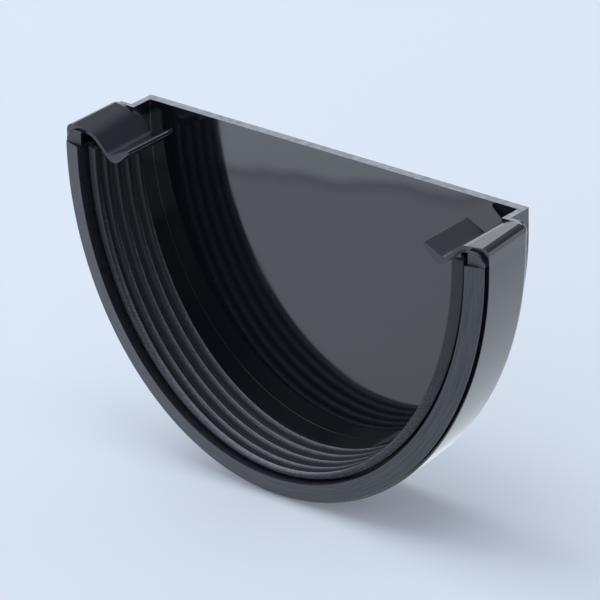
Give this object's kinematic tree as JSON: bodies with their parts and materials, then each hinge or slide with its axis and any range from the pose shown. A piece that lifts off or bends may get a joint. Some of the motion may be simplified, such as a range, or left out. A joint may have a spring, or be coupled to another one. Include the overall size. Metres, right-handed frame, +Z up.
{
  "type": "gutter end cap",
  "caption": "Moulded end cap for a deep half-elliptical rain gutter, with a ribbed rubber seal round its mouth and a hooked clip at each side",
  "frame": {"origin": "in the plane of the mouth, midway between the clips, level with the gutter's edges", "axes": "+X across the mouth, +Y from the mouth to the end wall, +Z up"},
  "size_m": [0.1356, 0.0286, 0.0876],
  "materials": {
    "body": "glossy black injection-moulded plastic",
    "seal": "matte black moulded rubber"
  },
  "bodies": {
    "root": {"cap_body": "body", "seal": "seal"}
  },
  "joints": []
}
